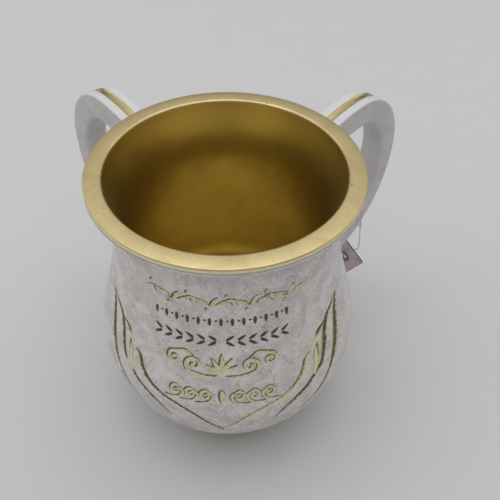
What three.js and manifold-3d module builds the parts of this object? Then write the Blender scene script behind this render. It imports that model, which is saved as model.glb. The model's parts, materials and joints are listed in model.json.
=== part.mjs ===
// A two-handled washing cup: a cast body with engraved hands, a spun metal liner whose flange is the
// rim, two flat ear handles with a gilt channel, a gilt foot, a felt pad, and a small card tag on a loop.
// Millimetres, +Z up. The axis of the cup is Z, it stands on Z = 0 and its engraved front faces -Y.

import * as THREE from 'three';
import { mergeVertices } from 'three/addons/utils/BufferGeometryUtils.js';
import Module from 'manifold-3d';

const wasm = await Module();
wasm.setup();

// Driving dimensions of the cup. A drop is measured down from the rim.
const cupHeight = 125;
const rimRadius = 52;
const rimFlange = 6.5;
const lipEdge = 3;
const lipSetback = 0.4;
const coveHeight = 10.5;
const neckRadius = 44.2;
const neckDrop = 25;
const bellyRadius = 52.8;
const bellyHeight = 48.7;
const footRadius = 31;
const footHeight = 7.5;

// Liner
const linerSheet = 0.9;
const neckWall = 2.9;
const linerTaper = 0.6;
const linerThroat = 16;
const linerCorner = 20;
const linerFloor = 37;

// Handles
const handleTurn = THREE.MathUtils.degToRad(48);
const handleReach = 105;
const handleCrestDrop = 6.6;
const handleCrestRadius = 78;
const handleReachDrop = 37;
const handleTopDrop = 22.5;
const handleLowRoot = 41.3;
const handleWidth = 11.4;
const handleThickness = 10.4;
const handleEdge = 1.5;
const channelWidth = 3.8;
const channelDepth = 0.8;
const pegRadius = 2.5;
const lowPegDepth = 5;

// Foot and pad
const footWidth = 9;
const footRegister = 2;
const footRegisterWidth = 3;
const padThickness = 1.2;

// Engraving
const engravedWidth = 2.4;
const engravedDepth = 0.7;
const engravedPitch = 6;

// Tag
const tagWidth = 15.5;
const tagLength = 24;
const tagThickness = 0.8;
const tagCorner = 0.8;
const tagHoleFromTop = 8.8;
const tagHoleRadius = 1.9;
const tagTilt = THREE.MathUtils.degToRad(-34.5);
const tagDrop = 24;
const tagRadiusOnHandle = 84;
const eyeletSheet = 0.3;
const eyeletLip = 0.9;
const threadRadius = 0.3;
const threadPitch = 2.4;
const beadRadius = 0.9;

// Fits
const seatGap = 0.3;
const overrun = 2;

// Smoothness
const turns = 48;
const grooveSides = 4;
const handleSteps = 34;

const point = (r, z) => new THREE.Vector2(r, z);

// Evenly spaced points on a cubic curve from a to d
function cubic(a, b, c, d, count) {
  return new THREE.CubicBezierCurve(a, b, c, d).getSpacedPoints(count);
}

// Points of a quarter round between two tangent directions
function corner(from, tip, to, count) {
  return new THREE.QuadraticBezierCurve(from, tip, to).getPoints(count);
}

// The profile moved sideways by a distance, to the right of its direction of travel.
// A point on the axis stays on it.
function moved(profile, distance) {
  return profile.map((p, i) => {
    if (p.x === 0) return point(0, p.y - distance);
    const before = profile[i - 1];
    const after = profile[Math.min(i + 1, profile.length - 1)];
    const along = after.clone().sub(before).normalize();
    return point(p.x + along.y * distance, p.y - along.x * distance);
  });
}

// A geometry with only its positions, each shared by the faces that meet there
function welded(geometry) {
  const bare = geometry.clone();
  bare.deleteAttribute('normal');
  bare.deleteAttribute('uv');
  return mergeVertices(bare);
}

// A body of revolution about Z from a profile of (radius, height) points
function revolved(profile, segments = turns) {
  return welded(new THREE.LatheGeometry(profile, segments)).rotateX(Math.PI / 2);
}

function signedVolume(position, index) {
  const [a, b, c] = [new THREE.Vector3(), new THREE.Vector3(), new THREE.Vector3()];
  let sum = 0;
  for (let i = 0; i < index.length; i += 3) {
    a.fromBufferAttribute(position, index[i]);
    b.fromBufferAttribute(position, index[i + 1]);
    c.fromBufferAttribute(position, index[i + 2]);
    sum += a.dot(b.cross(c));
  }
  return sum;
}

// A welded geometry as a solid that can be joined and cut, without slivers and with its faces outward
function solid(geometry) {
  const { position } = geometry.attributes;
  const source = geometry.index.array;
  const triangles = [];
  for (let i = 0; i < source.length; i += 3) {
    const [a, b, c] = source.slice(i, i + 3);
    if (a !== b && b !== c && c !== a) triangles.push(a, b, c);
  }
  if (signedVolume(position, triangles) < 0) triangles.reverse();
  return new wasm.Manifold(new wasm.Mesh({
    numProp: 3,
    vertProperties: new Float32Array(position.array),
    triVerts: new Uint32Array(triangles),
  }));
}

function geometryOf(body) {
  const { vertProperties, triVerts } = body.getMesh();
  const geometry = new THREE.BufferGeometry();
  geometry.setAttribute('position', new THREE.BufferAttribute(new Float32Array(vertProperties), 3));
  geometry.setIndex(new THREE.BufferAttribute(new Uint32Array(triVerts), 1));
  geometry.computeVertexNormals();
  return geometry;
}

// A rod of the given radius between two points
function rod(from, to, radius, sides = 14) {
  const along = to.clone().sub(from);
  const geometry = welded(new THREE.CylinderGeometry(radius, radius, along.length(), sides));
  geometry.applyQuaternion(
    new THREE.Quaternion().setFromUnitVectors(new THREE.Vector3(0, 1, 0), along.clone().normalize()),
  );
  const middle = from.clone().add(to).multiplyScalar(1 / 2);
  return geometry.translate(middle.x, middle.y, middle.z);
}

// A round-sectioned tube along a curve
function tube(curve, radius, steps, sides) {
  const section = new THREE.Shape(new THREE.EllipseCurve(0, 0, radius, radius).getPoints(sides).slice(0, -1));
  return welded(new THREE.ExtrudeGeometry(section, { steps, extrudePath: curve, bevelEnabled: false }));
}

// Body outline, from the foot up over the belly and neck to the lip
const bodyBase = footHeight + seatGap;
const neckHeight = cupHeight - neckDrop;
const flangeUnder = cupHeight - linerSheet;
const lipTop = flangeUnder - seatGap;
const lipFoot = lipTop - lipEdge;
const lipRadius = rimRadius - lipSetback;
const coveFoot = lipFoot - coveHeight;
const bellyRise = bellyHeight - bodyBase;
const bellySwell = bellyRadius - footRadius;
const shoulderRise = neckHeight - bellyHeight;
const bodyShares = { footOut: 0.5, footUp: 0.12, bellyDown: 0.45, bellyUp: 0.3, neckDown: 0.4 };
const coveShares = { up: 0.5, out: 0.3, down: 0.12 };
const bodyOutline = [
  ...cubic(
    point(footRadius, bodyBase),
    point(footRadius + bellySwell * bodyShares.footOut, bodyBase + bellyRise * bodyShares.footUp),
    point(bellyRadius, bellyHeight - bellyRise * bodyShares.bellyDown),
    point(bellyRadius, bellyHeight),
    8,
  ),
  ...cubic(
    point(bellyRadius, bellyHeight),
    point(bellyRadius, bellyHeight + shoulderRise * bodyShares.bellyUp),
    point(neckRadius, neckHeight - shoulderRise * bodyShares.neckDown),
    point(neckRadius, neckHeight),
    7,
  ).slice(1),
  ...cubic(
    point(neckRadius, coveFoot),
    point(neckRadius, coveFoot + coveHeight * coveShares.up),
    point(neckRadius + (lipRadius - neckRadius) * coveShares.out, lipFoot - coveHeight * coveShares.down),
    point(lipRadius - lipSetback, lipFoot),
    5,
  ),
  point(lipRadius, lipFoot + lipSetback),
  point(lipRadius, lipTop - lipSetback),
  point(lipRadius - lipSetback, lipTop),
];

// Radius of the body's outside at a height
function bodyRadiusAt(height) {
  const above = bodyOutline.findIndex((p) => p.y >= height);
  const [low, high] = [bodyOutline[Math.max(above - 1, 0)], bodyOutline[Math.max(above, 0)]];
  const share = high.y > low.y ? (height - low.y) / (high.y - low.y) : 0;
  return low.x + (high.x - low.x) * share;
}

// Liner outline, its wetted face from the middle of the floor up to the mouth
const mouthRadius = rimRadius - rimFlange;
const throatRadius = neckRadius - neckWall - seatGap - linerSheet;
const throatHeight = cupHeight - linerThroat;
const bowlRadius = throatRadius - linerTaper;
const floorRadius = bowlRadius - linerCorner;
const linerShares = { quarterRound: 0.55, throatUp: 0.3, mouthDown: 0.4 };
const linerInside = [
  point(0, linerFloor),
  ...cubic(
    point(floorRadius, linerFloor),
    point(floorRadius + linerCorner * linerShares.quarterRound, linerFloor),
    point(bowlRadius, linerFloor + linerCorner * (1 - linerShares.quarterRound)),
    point(bowlRadius, linerFloor + linerCorner),
    7,
  ),
  ...cubic(
    point(throatRadius, throatHeight),
    point(throatRadius, throatHeight + linerThroat * linerShares.throatUp),
    point(mouthRadius - linerSheet, cupHeight - linerThroat * linerShares.mouthDown),
    point(mouthRadius - linerSheet / 2, cupHeight - linerSheet),
    4,
  ),
];

function linerProfile() {
  const outside = moved(linerInside, linerSheet).filter((p) => p.y < flangeUnder - linerSheet);
  const edge = linerSheet / 3;
  return [
    ...linerInside,
    point(mouthRadius, cupHeight - edge / 2),
    point(mouthRadius + edge, cupHeight),
    point(rimRadius - edge, cupHeight),
    point(rimRadius, cupHeight - edge),
    point(rimRadius, flangeUnder + edge / 2),
    point(rimRadius - edge / 2, flangeUnder),
    point(mouthRadius + linerSheet, flangeUnder),
    ...outside.reverse(),
  ];
}

// Seat for the liner, a seat gap outside it, left open at the lip
function linerSeat() {
  const seat = moved(linerInside, linerSheet + seatGap).filter((p) => p.y < lipTop - linerSheet);
  const seatMouth = mouthRadius + linerSheet + seatGap;
  return [...seat, point(seatMouth, lipTop), point(seatMouth, lipTop + overrun), point(0, lipTop + overrun)];
}

// A point on the body's outside, turned from the front towards +X
function onBody(turn, height) {
  const radius = bodyRadiusAt(height);
  return new THREE.Vector3(radius * Math.sin(turn), -radius * Math.cos(turn), height);
}

// Direction out of the body's outside at the same place
function outOfBody(turn, height) {
  const rise = new THREE.Vector3().subVectors(onBody(turn, height + seatGap), onBody(turn, height - seatGap));
  const across = new THREE.Vector3(Math.cos(turn), Math.sin(turn), 0);
  return across.cross(rise).normalize();
}

// Lines of one open hand. Each point is a share of a quarter turn from the front, of the cup's height
// and of a groove's full width: two fingers, the little finger's side down to the wrist, and the thumb's
// side, which runs on to meet the other hand at the front.
const handLineShares = [
  [[0.742, 0.647, 0.2], [0.703, 0.602, 0.75], [0.672, 0.535, 1], [0.642, 0.476, 0.95], [0.604, 0.42, 0.6],
    [0.554, 0.358, 0.4], [0.49, 0.306, 0.3], [0.415, 0.272, 0.2]],
  [[0.733, 0.645, 0.2], [0.683, 0.631, 0.3], [0.618, 0.608, 0.6], [0.583, 0.568, 0.8], [0.563, 0.519, 0.75],
    [0.539, 0.475, 0.6], [0.524, 0.459, 0.2]],
  [[0.587, 0.6, 0.2], [0.535, 0.583, 0.5], [0.509, 0.545, 0.65], [0.498, 0.5, 0.8], [0.484, 0.448, 0.6],
    [0.445, 0.414, 0.55], [0.382, 0.383, 0.5], [0.316, 0.346, 0.4], [0.26, 0.303, 0.2]],
  [[0.483, 0.539, 0.2], [0.434, 0.518, 0.6], [0.412, 0.479, 0.7], [0.368, 0.442, 0.6], [0.304, 0.412, 0.45],
    [0.224, 0.388, 0.4], [0.142, 0.357, 0.35], [0.073, 0.31, 0.35], [0, 0.258, 0.3]],
];

// A solid strand of diamond section along the line, as wide and deep as its shares say, half of it in
// the wall, where it cuts a V-shaped groove
function strand(line, side) {
  const drawn = new THREE.CatmullRomCurve3(line.map((shares) => new THREE.Vector3(...shares)));
  const steps = Math.ceil(drawn.getLength() * bellyRadius * Math.PI / 2 / engravedPitch);
  const places = drawn.getSpacedPoints(steps).map((p) => ({
    turn: side * p.x * Math.PI / 2,
    height: p.y * cupHeight,
    width: p.z,
  }));
  const middles = places.map(({ turn, height }) => onBody(turn, height));
  const points = [];
  const faces = [];
  places.forEach(({ turn, height, width }, i) => {
    const out = outOfBody(turn, height);
    const along = middles[Math.min(i + 1, steps)].clone().sub(middles[Math.max(i - 1, 0)]).normalize();
    const across = along.cross(out).normalize().multiplyScalar(width * engravedWidth / 2);
    out.multiplyScalar(Math.sqrt(width) * engravedDepth);
    for (let k = 0; k < grooveSides; k += 1) {
      const angle = (k / grooveSides) * Math.PI * 2;
      const place = middles[i].clone().addScaledVector(across, Math.cos(angle));
      points.push(...place.addScaledVector(out, Math.sin(angle)));
      const [a, b] = [i * grooveSides + k, i * grooveSides + ((k + 1) % grooveSides)];
      if (i < steps) faces.push(a, b, b + grooveSides, a, b + grooveSides, a + grooveSides);
    }
  });
  const last = steps * grooveSides;
  for (let k = 2; k < grooveSides; k += 1) faces.push(0, k, k - 1, last, last + k - 1, last + k);
  const geometry = new THREE.BufferGeometry();
  geometry.setAttribute('position', new THREE.BufferAttribute(new Float32Array(points), 3));
  return geometry.setIndex(faces);
}

// Grooves of the hand on the side given by its sign
function handGrooves(side) {
  return handLineShares.map((line) => solid(strand(line, side)));
}

// Middle line of a handle in its own upright plane, X away from the cup
const halfThickness = handleThickness / 2;
const reachHeight = cupHeight - handleReachDrop;
const topRootHeight = cupHeight - handleTopDrop;
const crest = new THREE.Vector3(handleCrestRadius, 0, cupHeight - handleCrestDrop - halfThickness);
const farthest = new THREE.Vector3(handleReach - halfThickness, 0, reachHeight);
const topRoot = new THREE.Vector3(neckRadius - neckWall, 0, topRootHeight);
const lowRoot = new THREE.Vector3(bellyRadius - neckWall, 0, handleLowRoot);
const handleShares = { topOut: 0.3, topUp: 0.75, crestIn: 0.38, crestOut: 0.53, fall: 0.55, lowOut: 0.68 };

function handleLine() {
  const topRun = crest.x - topRoot.x;
  const endRun = farthest.x - crest.x;
  const drop = farthest.z - lowRoot.z;
  const path = new THREE.CurvePath();
  path.add(new THREE.CubicBezierCurve3(
    topRoot,
    new THREE.Vector3(topRoot.x + topRun * handleShares.topOut, 0,
      topRoot.z + (crest.z - topRoot.z) * handleShares.topUp),
    new THREE.Vector3(crest.x - topRun * handleShares.crestIn, 0, crest.z),
    crest,
  ));
  path.add(new THREE.CubicBezierCurve3(
    crest,
    new THREE.Vector3(crest.x + endRun * handleShares.crestOut, 0, crest.z),
    new THREE.Vector3(farthest.x, 0, farthest.z + (crest.z - farthest.z) * handleShares.fall),
    farthest,
  ));
  path.add(new THREE.CubicBezierCurve3(
    farthest,
    new THREE.Vector3(farthest.x, 0, farthest.z - drop / 2),
    new THREE.Vector3(lowRoot.x + (farthest.x - lowRoot.x) * handleShares.lowOut, 0, lowRoot.z),
    lowRoot,
  ));
  return path;
}

// Section of the flat handle band: X across its width, Y towards the finger opening,
// with rounded edges and the shallow channel in its outer face
function handleSection() {
  const [w, t, e] = [handleWidth / 2, halfThickness, handleEdge];
  return new THREE.Shape([
    ...corner(point(w, t - e), point(w, t), point(w - e, t), 2),
    ...corner(point(e - w, t), point(-w, t), point(-w, t - e), 2),
    ...corner(point(-w, e - t), point(-w, -t), point(e - w, -t), 2),
    point(-channelWidth / 2, -t),
    point(-channelWidth / 4, channelDepth - t),
    point(channelWidth / 4, channelDepth - t),
    point(channelWidth / 2, -t),
    ...corner(point(w - e, -t), point(w, -t), point(w, e - t), 2),
  ]);
}

// A peg's end points for a root at a height: its tip inside the cast wall and its start in the handle
function pegEnds(height, depth, grow = 0) {
  const outside = bodyRadiusAt(height);
  return [
    new THREE.Vector3(outside - depth - grow, 0, height),
    new THREE.Vector3(outside + halfThickness, 0, height),
  ];
}

const pegs = [
  { height: topRootHeight, depth: neckWall / 2 },
  { height: handleLowRoot, depth: lowPegDepth },
];

function handle(azimuth) {
  const band = solid(welded(new THREE.ExtrudeGeometry(handleSection(), {
    steps: handleSteps,
    extrudePath: handleLine(),
    bevelEnabled: false,
  })));
  const outline = bodyOutline.map((p) => point(p.x + seatGap, p.y));
  const bodyRoom = solid(revolved([point(0, bodyBase), ...outline, point(0, lipTop)]).rotateZ(-azimuth));
  return pegs.reduce(
    (joined, { height, depth }) => joined.add(solid(rod(...pegEnds(height, depth), pegRadius))),
    band.subtract(bodyRoom),
  );
}

function pegPockets(azimuth) {
  return pegs.map(({ height, depth }) =>
    solid(rod(...pegEnds(height, depth, seatGap), pegRadius + seatGap).rotateZ(azimuth)));
}

const rightTurn = handleTurn;
const leftTurn = Math.PI - handleTurn;

function cupBody() {
  const registerOut = footRadius - footWidth + footRegisterWidth + seatGap;
  const outer = solid(revolved([
    point(0, bodyBase + footRegister + seatGap),
    point(registerOut, bodyBase + footRegister + seatGap),
    point(registerOut, bodyBase),
    ...bodyOutline,
    point(0, lipTop),
  ]));
  const cuts = [
    solid(revolved(linerSeat())),
    ...handGrooves(1),
    ...handGrooves(-1),
    ...pegPockets(rightTurn),
    ...pegPockets(leftTurn),
  ];
  return cuts.reduce((left, cut) => left.subtract(cut), outer);
}

// Foot: a waisted ring with a register that centres it in the recess under the body
function footRing() {
  const bottom = padThickness + seatGap;
  const inner = footRadius - footWidth;
  const waist = footRadius - footWidth / 6;
  const edge = padThickness / 2;
  const height = footHeight - bottom;
  return solid(revolved([
    point(inner, bottom),
    point(footRadius - edge, bottom),
    point(footRadius, bottom + edge),
    point(footRadius, bottom + height / 4),
    ...corner(point(footRadius - edge, bottom + height / 3), point(waist, bottom + height / 2),
      point(footRadius - edge, footHeight - edge), 3),
    point(footRadius - edge, footHeight),
    point(inner + footRegisterWidth, footHeight),
    point(inner + footRegisterWidth, footHeight + footRegister),
    point(inner, footHeight + footRegister),
    point(inner, bottom),
  ]));
}

function basePad() {
  const radius = footRadius - padThickness;
  return solid(revolved([
    point(0, 0),
    point(radius, 0),
    point(radius, padThickness),
    point(0, padThickness),
  ]));
}

// The tag hangs in an upright plane across the right handle, below its lower arm.
// In the tag's own frame X points towards the back, Y towards the cup and Z up, from the eye.
const lowArm = handleLine().getSpacedPoints(handleSteps * 4).filter((p) => p.z < reachHeight);
const armAtTag = lowArm.reduce((best, p) =>
  (Math.abs(p.x - tagRadiusOnHandle) < Math.abs(best.x - tagRadiusOnHandle) ? p : best));
const armIndex = lowArm.indexOf(armAtTag);
const armSlope = lowArm[armIndex - 1].clone().sub(lowArm[armIndex + 1]).normalize();
const armHalfDepth = halfThickness / armSlope.x;
const eyeHeight = armAtTag.z - armHalfDepth - tagDrop;
const eyePlace = new THREE.Vector3(tagRadiusOnHandle, 0, eyeHeight);

function tagCard() {
  const [left, top] = [-tagWidth / 2, tagHoleFromTop];
  const [right, low] = [tagWidth / 2, tagHoleFromTop - tagLength];
  const c = tagCorner;
  const card = new THREE.Shape([
    ...corner(point(left, low + c), point(left, low), point(left + c, low), 2),
    ...corner(point(right - c, low), point(right, low), point(right, low + c), 2),
    ...corner(point(right, top - c), point(right, top), point(right - c, top), 2),
    ...corner(point(left + c, top), point(left, top), point(left, top - c), 2),
  ]);
  card.holes.push(new THREE.Path().absellipse(0, 0, tagHoleRadius, tagHoleRadius, 0, Math.PI * 2, true));
  const geometry = welded(new THREE.ExtrudeGeometry(card, {
    depth: tagThickness,
    bevelEnabled: false,
    curveSegments: 12,
  }));
  return solid(geometry.translate(0, 0, -tagThickness / 2).rotateX(Math.PI / 2).rotateY(tagTilt));
}

function tagEyelet() {
  const barrel = tagHoleRadius - seatGap / 2;
  const bore = barrel - eyeletSheet;
  const lip = tagHoleRadius + eyeletLip;
  const under = tagThickness / 2 + seatGap / 2;
  const face = under + eyeletSheet;
  return solid(welded(new THREE.LatheGeometry([
    point(bore, -face),
    point(lip, -face),
    point(lip, -under),
    point(barrel, -under),
    point(barrel, under),
    point(lip, under),
    point(lip, face),
    point(bore, face),
    point(bore, -face),
  ], 20)));
}

// The loop goes over the lower arm of the handle and down beside both of its faces. Its sides stay apart
// until they are just above the card, because the arm slopes and comes between them when the tag swings
// towards the cup. They then go through the eye from both faces of the card. The two ends meet in a bead,
// which stands off the arm's front face.
function tagLoop() {
  const room = threadRadius + seatGap;
  const side = handleWidth / 2 + room;
  const over = tagDrop + armHalfDepth * 2 + room / armSlope.x;
  const eye = tagHoleRadius - seatGap - eyeletSheet - threadRadius * 2;
  const past = tagThickness / 2 + eyeletSheet + seatGap + room;
  const apart = tagHoleFromTop;
  const bead = new THREE.Vector3(threadRadius - beadRadius - side, 0, tagDrop + beadRadius);
  const route = [
    bead,
    new THREE.Vector3(-side, 0, over - room),
    new THREE.Vector3(-side + room, 0, over + threadRadius),
    new THREE.Vector3(side - room, 0, over + threadRadius),
    new THREE.Vector3(side, 0, over - room),
    new THREE.Vector3(side, 0, tagDrop),
    new THREE.Vector3(side, past, apart),
    new THREE.Vector3(side / 4, past, apart / 2),
    new THREE.Vector3(0, past, eye + threadRadius),
    new THREE.Vector3(0, 0, eye),
    new THREE.Vector3(0, -past, eye + threadRadius),
    new THREE.Vector3(-side / 4, -past, apart / 2),
    new THREE.Vector3(-side, -past, apart),
    bead,
  ];
  const curve = new THREE.CatmullRomCurve3(route, false, 'centripetal');
  const steps = Math.ceil(curve.getLength() / threadPitch);
  const knot = welded(new THREE.SphereGeometry(beadRadius, 10, 8)).translate(bead.x, bead.y, bead.z);
  return solid(tube(curve, threadRadius, steps, 5)).add(solid(knot));
}

const finishes = {
  castWhite: { color: 0xb9b5b0, roughness: 0.5, metalness: 0 },
  spunGold: { color: 0xb89a5e, roughness: 0.34, metalness: 1 },
  gilt: { color: 0xa98c45, roughness: 0.38, metalness: 0.8 },
  felt: { color: 0x2f3133, roughness: 0.95, metalness: 0 },
  card: { color: 0x8c7a7c, roughness: 0.8, metalness: 0 },
  steel: { color: 0x8f9292, roughness: 0.35, metalness: 1 },
  nylon: { color: 0xcfcbd6, roughness: 0.3, metalness: 0 },
};

function piece(name, body, finish) {
  const mesh = new THREE.Mesh(geometryOf(body), new THREE.MeshStandardMaterial(finishes[finish]));
  mesh.name = name;
  return mesh;
}

function turned(mesh, azimuth) {
  mesh.rotation.z = azimuth;
  return mesh;
}

const cup = new THREE.Group();
cup.add(
  piece('cup_body', cupBody(), 'castWhite'),
  piece('cup_liner', solid(revolved(linerProfile())), 'spunGold'),
  piece('foot_ring', footRing(), 'gilt'),
  piece('base_pad', basePad(), 'felt'),
  turned(piece('right_handle', handle(rightTurn), 'castWhite'), rightTurn),
  turned(piece('left_handle', handle(leftTurn), 'castWhite'), leftTurn),
);

const tag = new THREE.Group();
tag.position.copy(eyePlace);
tag.rotation.z = Math.PI / 2;
tag.add(
  piece('tag_card', tagCard(), 'card'),
  piece('tag_eyelet', tagEyelet(), 'steel'),
  piece('tag_loop', tagLoop(), 'nylon'),
);
const rightPlane = new THREE.Group();
rightPlane.rotation.z = rightTurn;
rightPlane.add(tag);
cup.add(rightPlane);

export default cup;
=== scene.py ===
"""The looks of a two-handled washing cup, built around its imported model.

Sizes are in millimetres and become metres where a mesh, a light or the camera is made. The axis of the
cup is Z, it stands on Z = 0 and its engraved front faces -Y. A turn is an angle about Z from the front
towards +X.
"""

import json
import math

import bpy
import numpy as np
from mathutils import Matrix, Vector


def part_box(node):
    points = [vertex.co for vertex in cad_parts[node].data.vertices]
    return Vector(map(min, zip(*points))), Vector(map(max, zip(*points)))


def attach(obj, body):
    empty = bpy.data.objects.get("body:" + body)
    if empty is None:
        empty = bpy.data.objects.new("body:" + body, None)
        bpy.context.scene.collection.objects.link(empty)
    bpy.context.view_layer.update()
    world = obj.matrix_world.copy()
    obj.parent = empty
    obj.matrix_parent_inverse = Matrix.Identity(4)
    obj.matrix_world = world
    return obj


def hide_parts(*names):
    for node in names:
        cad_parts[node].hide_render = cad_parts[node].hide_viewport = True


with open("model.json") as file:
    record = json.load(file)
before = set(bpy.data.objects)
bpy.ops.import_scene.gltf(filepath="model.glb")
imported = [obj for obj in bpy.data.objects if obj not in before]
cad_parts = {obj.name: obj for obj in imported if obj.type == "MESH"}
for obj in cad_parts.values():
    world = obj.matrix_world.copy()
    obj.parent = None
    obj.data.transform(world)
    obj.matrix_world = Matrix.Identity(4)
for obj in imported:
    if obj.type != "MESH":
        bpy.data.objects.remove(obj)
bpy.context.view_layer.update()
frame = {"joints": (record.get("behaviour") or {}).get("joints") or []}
scene = bpy.context.scene

MM = 0.001


def extent(node):
    """Lowest and highest corner of a CAD node, in millimetres."""
    low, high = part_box(node)
    return np.array(low) / MM, np.array(high) / MM


# Sizes read from the frame
BODY_LOW, BODY_HIGH = extent("cup_body")
LINER_HIGH = extent("cup_liner")[1]
FOOT_LOW, FOOT_HIGH = extent("foot_ring")
PAD_HIGH = extent("base_pad")[1]
EYELET_LOW, EYELET_HIGH = extent("tag_eyelet")
CUP_HEIGHT = LINER_HIGH[2]
RIM_RADIUS = LINER_HIGH[0]
BELLY_RADIUS = BODY_HIGH[0]
BODY_BASE = BODY_LOW[2]
LIP_TOP = BODY_HIGH[2]
FOOT_RADIUS = FOOT_HIGH[0]
EYE = (EYELET_LOW + EYELET_HIGH) / 2
SWING_PLACE = np.array(frame["joints"][0]["pos_m"]) / MM
HANDLE_TURN = math.atan2(SWING_PLACE[1], SWING_PLACE[0])

# Body, as in the CAD source
NECK_RADIUS = 44.2
NECK_HEIGHT = 100
BELLY_HEIGHT = 48.7
LIP_EDGE = 3
LIP_SETBACK = 0.4
COVE_HEIGHT = 10.5
SEAT_GAP = 0.3

# The lip's bead, and its paint: how far below the rim the gold ends, and the flange's shadow on it
LIP_BEAD = 0.35
LIP_GILT = 2.6
FLANGE_SHADOW_DROP = 1.32
FLANGE_SHADOW_STRENGTH = 0.4
GILT_LINE_SHADE = 0.85
GILT_LINE_WIDTH = 0.22

# Liner: the flange falls a little towards its edge, and the throat's bend is eased
RIM_FLANGE = 6.5
LINER_SHEET = 0.9
FLANGE_FALL = 0.3
NECK_WALL = 2.9
LINER_TAPER = 0.6
LINER_THROAT = 16
THROAT_EASE = 10
LINER_CORNER = 20
LINER_FLOOR = 37

# Handles: places are (distance from the axis, height), and the band's inner side swells towards the crest
HANDLE_REACH = 104.65
HANDLE_CREST = (78, 118.4)
HANDLE_REACH_HEIGHT = 88
HANDLE_ROOTS = (102.5, 41.3)
HANDLE_WIDTH = 11.4
HANDLE_THICKNESS = 10.4
CHANNEL_WIDTH = 3.8
CHANNEL_DEPTH = 0.8
CREST_SWELL = 1.8
HANDLE_OUTER_EDGE = 0.8
HANDLE_INNER_EDGE = 2.2
HANDLE_SEAT = 0.2
CHANNEL_FLOOR_SHARE = 0.62
CHANNEL_GILT_SHARES = (0.96, 1.12)
WHITE_FACE_SHARES = (0.8, 0.35)

# Foot and pad
FOOT_WIDTH = 9
FOOT_REGISTER_WIDTH = 3
FOOT_REGISTER = 2
FOOT_BAND = 1.9
FOOT_WAIST = 1.9
FOOT_WAIST_ENDS = (2.6, 1.6)
FOOT_COLLAR = 0.5
FOOT_COLLAR_BEVEL = 0.1
FOOT_EDGE = 0.7
PAD_EDGE = 0.4

# Engraving, with a slight fall of the skin beside each groove
ENGRAVED_WIDTH = 2.4
ENGRAVED_DEPTH = 0.75
GROOVE_POWER = 1.15
SHOULDER_DEPTH = 0.12
SHOULDER_WIDTH = 0.9

# Tag
TAG_WIDTH = 15.5
TAG_LENGTH = 24
TAG_THICKNESS = 0.8
TAG_CORNER = 0.8
TAG_EDGE = 0.12
TAG_CURL = 0.25
TAG_POINTS = 96
TAG_HOLE_FROM_TOP = 8.8
TAG_HOLE_RADIUS = 1.9
TAG_TILT = math.radians(-34.5)
TAG_DROP = 24
EYELET_SHEET = 0.3
EYELET_LIP = 0.9
EYELET_ROLL = 0.45
THREAD_RADIUS = 0.3
BEAD_RADIUS = 0.9
BEAD_LENGTH = 0.75


def cubic(a, b, c, d, count=60):
    """Points on a cubic curve."""
    t = np.linspace(0, 1, count)[:, None]
    a, b, c, d = (np.array(p, float) for p in (a, b, c, d))
    return (1 - t) ** 3 * a + 3 * (1 - t) ** 2 * t * b + 3 * (1 - t) * t**2 * c + t**3 * d


def joined(*runs):
    """Runs of points one after the other, without the points that they share."""
    points = np.vstack([np.array(run, float) for run in runs])
    fresh = np.r_[True, np.linalg.norm(np.diff(points, axis=0), axis=1) > 1e-6]
    return points[fresh]


def along(points):
    """Length along a run of points, at each of them."""
    return np.r_[0, np.cumsum(np.linalg.norm(np.diff(points, axis=0), axis=1))]


def resampled(points, places):
    """Points of a run at the given lengths along it."""
    lengths = along(points)
    return np.stack([np.interp(places, lengths, column) for column in points.T], axis=-1)


def evenly(points, step):
    """Points of a run, a step apart."""
    length = along(points)[-1]
    return resampled(points, np.linspace(0, length, max(2, math.ceil(length / step) + 1)))


def through(points, step):
    """A smooth run through given points, as a Catmull-Rom curve."""
    p = np.array(points, float)
    p = np.vstack([2 * p[0] - p[1], p, 2 * p[-1] - p[-2]])
    t = np.linspace(0, 1, 24, endpoint=False)[:, None]
    runs = [
        b + (c - a) * t / 2 + (2 * a - 5 * b + 4 * c - d) * t**2 / 2 + (3 * b - a - 3 * c + d) * t**3 / 2
        for a, b, c, d in zip(p, p[1:], p[2:], p[3:])
    ]
    return evenly(np.vstack([*runs, p[-2:-1]]), step)


def unit(vectors):
    """The vectors at unit length."""
    return vectors / np.linalg.norm(vectors, axis=1)[:, None]


def sideways(points):
    """Unit directions to the right of a flat run of points."""
    run = unit(np.gradient(points, axis=0))
    return np.column_stack([run[:, 1], -run[:, 0]])


def smoothstep(low, high, value):
    """0 below low, 1 above high, and a smooth rise between."""
    t = np.clip((value - low) / (high - low), 0, 1)
    return t * t * (3 - 2 * t)


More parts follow.
